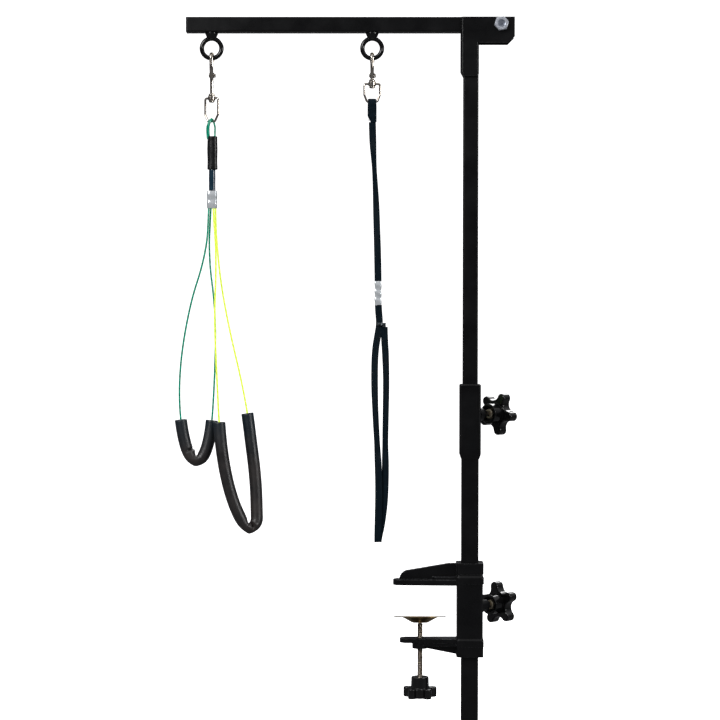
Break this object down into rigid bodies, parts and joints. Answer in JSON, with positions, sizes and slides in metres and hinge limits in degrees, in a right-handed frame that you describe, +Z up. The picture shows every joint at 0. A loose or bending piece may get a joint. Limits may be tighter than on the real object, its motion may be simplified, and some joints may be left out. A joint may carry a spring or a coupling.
{
  "type": "clamp-on grooming arm",
  "caption": "Clamp-on folding arm that holds a pet in place on a grooming table, with a loop noose and a two-loop haunch holder.",
  "frame": {"origin": "on the clamp screw's axis, in the underside of the upper jaw, which rests on the table top", "axes": "+Z up along the post, +X from the jaws towards the post, +Y to the back"},
  "size_m": [0.5061, 0.1103, 1.134],
  "materials": {
    "black_powder_coat": "satin black powder coat",
    "nickel_steel": "warm nickel plate on threaded steel",
    "yellow_brass": "yellow passivated pressed steel, semi-gloss",
    "black_knob_plastic": "glossy moulded phenolic",
    "black_plug_plastic": "matte moulded polyethylene",
    "brass_insert": "turned brass",
    "zinc_bolt": "bright zinc plate",
    "bright_nickel": "polished nickel plate",
    "black_nylon": "woven nylon strap",
    "bright_aluminium": "bright crushed aluminium",
    "green_cable_jacket": "translucent green PVC over wire",
    "yellow_cable_jacket": "fluorescent yellow PVC over wire",
    "black_shrink_sleeve": "shrunk sleeve with a soft sheen",
    "navy_sleeve": "glossy dark navy tube",
    "black_foam": "skinned soft foam tube"
  },
  "bodies": {
    "clamp": {"clamp_body": "black_powder_coat"},
    "lower_post": {"lower_post": "black_powder_coat", "post_sleeve": "black_powder_coat", "lower_post_plug": "black_plug_plastic"},
    "upper_post": {"upper_post": "black_powder_coat", "arm_bracket": "black_powder_coat", "bracket_welds": "black_powder_coat", "pivot_bolt": "zinc_bolt", "pivot_nut": "zinc_bolt"},
    "arm": {"arm_tube": "black_powder_coat", "arm_end_plug": "black_plug_plastic", "eyebolt_outer": "black_powder_coat", "eyebolt_inner": "black_powder_coat", "eyebolt_nuts": "zinc_bolt"},
    "clamp_stud": {"clamp_stud": "nickel_steel"},
    "clamp_knob": {"clamp_knob": "black_knob_plastic", "clamp_knob_insert": "brass_insert"},
    "sleeve_stud": {"sleeve_stud": "nickel_steel"},
    "sleeve_knob": {"sleeve_knob": "black_knob_plastic", "sleeve_knob_insert": "brass_insert"},
    "pad_retainer": {"pad_retainer": "nickel_steel"},
    "clamp_screw": {"clamp_screw": "nickel_steel", "screw_knob": "black_knob_plastic"},
    "pad": {"pressure_pad": "yellow_brass"},
    "noose_hook": {"noose_hook": "bright_nickel", "noose_gate_pin": "bright_nickel"},
    "noose_gate": {"noose_hook_gate": "bright_nickel"},
    "noose_lead": {"noose_swivel_ring": "bright_nickel", "noose_tab": "black_nylon", "noose_strap": "black_nylon", "noose_crimp": "bright_aluminium", "noose_ring": "bright_nickel", "noose_loop": "black_nylon"},
    "holder_hook": {"holder_hook": "bright_nickel", "holder_gate_pin": "bright_nickel"},
    "holder_gate": {"holder_hook_gate": "bright_nickel"},
    "holder_lead": {"holder_swivel_ring": "bright_nickel", "holder_top_loop": "green_cable_jacket", "holder_wide_sleeve": "black_shrink_sleeve", "holder_narrow_sleeve": "navy_sleeve", "holder_ferrule": "bright_aluminium", "cable_green": "green_cable_jacket", "cable_yellow": "yellow_cable_jacket", "foam_short": "black_foam", "foam_long": "black_foam"}
  },
  "joints": [
    {"name": "clamp_height", "type": "slide", "parent": "clamp", "child": "lower_post", "axis": [0, 0, 1], "range_m": [-0.145, 0.18]},
    {"name": "post_height", "type": "slide", "parent": "lower_post", "child": "upper_post", "axis": [0, 0, 1], "range_m": [-0.4, 0.1]},
    {"name": "arm_fold", "type": "hinge", "parent": "upper_post", "child": "arm", "pos_m": [0.1168, 0, 0.823], "axis": [0, 1, 0], "range_deg": [0, 270]},
    {"name": "clamp_stud_travel", "type": "slide", "parent": "clamp", "child": "clamp_stud", "axis": [0.7071, 0.7071, 0], "range_m": [0, 0.006]},
    {"name": "clamp_knob_turn", "type": "hinge", "parent": "clamp_stud", "child": "clamp_knob", "pos_m": [0.073, 0, -0.0337], "axis": [0.7071, 0.7071, 0], "range_deg": [0, 1720]},
    {"name": "sleeve_stud_travel", "type": "slide", "parent": "lower_post", "child": "sleeve_stud", "axis": [0.7071, 0.7071, 0], "range_m": [0, 0.006]},
    {"name": "sleeve_knob_turn", "type": "hinge", "parent": "sleeve_stud", "child": "sleeve_knob", "pos_m": [0.073, 0, 0.251], "axis": [0.7071, 0.7071, 0], "range_deg": [0, 1720]},
    {"name": "pad_rise", "type": "slide", "parent": "clamp", "child": "pad_retainer", "axis": [0, 0, 1], "range_m": [-0.018, 0.04]},
    {"name": "screw_turn", "type": "hinge", "parent": "pad_retainer", "child": "clamp_screw", "pos_m": [0, 0, -0.1], "axis": [0, 0, 1], "range_deg": [-5180, 11515]},
    {"name": "pad_tilt", "type": "hinge", "parent": "pad_retainer", "child": "pad", "pos_m": [0, 0, -0.0562], "axis": [1, 0, 0], "range_deg": [0, 16]},
    {"name": "noose_swing", "type": "hinge", "parent": "arm", "child": "noose_hook", "pos_m": [-0.072, 0, 0.7746], "axis": [1, 0, 0], "range_deg": [-60, 60]},
    {"name": "noose_gate_press", "type": "hinge", "parent": "noose_hook", "child": "noose_gate", "pos_m": [-0.072, 0.0042, 0.7496], "axis": [1, 0, 0], "range_deg": [0, 22], "stiffness_Nm_per_rad": 0.03, "springref_deg": -17.19},
    {"name": "noose_swivel", "type": "hinge", "parent": "noose_hook", "child": "noose_lead", "pos_m": [-0.072, 0, 0.72], "axis": [0, 0, 1], "continuous": true},
    {"name": "holder_swing", "type": "hinge", "parent": "arm", "child": "holder_hook", "pos_m": [-0.308, 0, 0.7746], "axis": [1, 0, 0], "range_deg": [-60, 60]},
    {"name": "holder_gate_press", "type": "hinge", "parent": "holder_hook", "child": "holder_gate", "pos_m": [-0.308, 0.0042, 0.7496], "axis": [1, 0, 0], "range_deg": [0, 22], "stiffness_Nm_per_rad": 0.03, "springref_deg": -17.19},
    {"name": "holder_swivel", "type": "hinge", "parent": "holder_hook", "child": "holder_lead", "pos_m": [-0.308, 0, 0.72], "axis": [0, 0, 1], "continuous": true}
  ],
  "couplings": [
    {"joint": "clamp_stud_travel", "follows": "clamp_knob_turn", "m_per_rad": 0.00019894},
    {"joint": "sleeve_stud_travel", "follows": "sleeve_knob_turn", "m_per_rad": 0.00019894},
    {"joint": "pad_rise", "follows": "screw_turn", "m_per_rad": 0.00019894}
  ]
}
